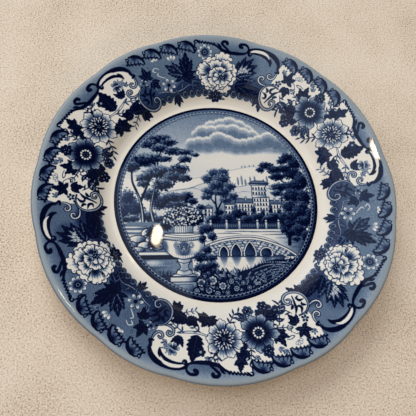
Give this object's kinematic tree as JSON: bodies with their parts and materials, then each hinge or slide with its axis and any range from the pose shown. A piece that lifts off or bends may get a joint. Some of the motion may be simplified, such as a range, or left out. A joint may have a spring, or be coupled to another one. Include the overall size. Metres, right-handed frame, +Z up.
{
  "type": "transfer-printed plate",
  "caption": "Round earthenware plate with a shaped edge, a blue printed landscape in the well, a floral border on the rim and a foot ring.",
  "frame": {"origin": "centre of the foot ring's resting plane", "axes": "+Z is up and is the plate's round axis; +Y is the top of the printed scene; +X is the scene's right"},
  "size_m": [0.2498, 0.2506, 0.0246],
  "materials": {
    "biscuit": "matte",
    "cobalt_ink": "satin",
    "edge_tint": "satin",
    "clear_glaze": "gloss"
  },
  "bodies": {
    "root": {"earthenware_body": "biscuit", "centre_print": "cobalt_ink", "border_print_1": "cobalt_ink", "border_print_2": "cobalt_ink", "border_print_3": "cobalt_ink", "edge_tint": "edge_tint", "glaze_outer": "clear_glaze", "glaze_foot_well": "clear_glaze"}
  },
  "joints": []
}
